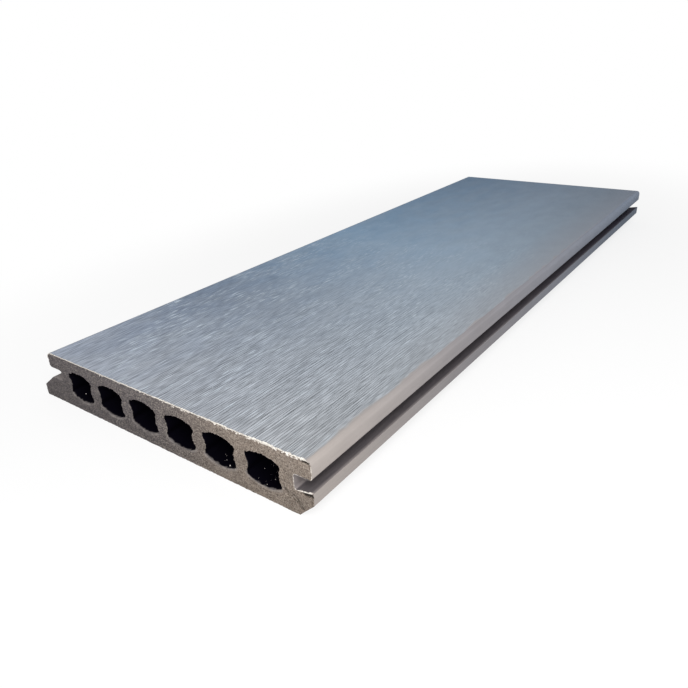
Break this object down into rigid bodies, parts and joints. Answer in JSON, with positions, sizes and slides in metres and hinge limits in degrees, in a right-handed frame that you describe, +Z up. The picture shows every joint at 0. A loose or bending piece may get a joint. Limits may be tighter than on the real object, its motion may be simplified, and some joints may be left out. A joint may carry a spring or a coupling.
{
  "type": "decking board",
  "caption": "Hollow composite deck board with a brushed walking face, lengthwise air chambers, clip grooves in both long edges and a toe that stands out along one side.",
  "frame": {"origin": "middle of the underside: halfway across the section, toe included, and halfway along the piece", "axes": "+X across the board towards the edge with the bevelled lower lip, +Y along the board, +Z up out of the walking face"},
  "size_m": [0.1484, 0.39, 0.0225],
  "materials": {
    "composite": "grey wood-plastic composite, brushed walking face, smooth edges, sawn ends"
  },
  "bodies": {
    "root": {"board": "composite"}
  },
  "joints": []
}
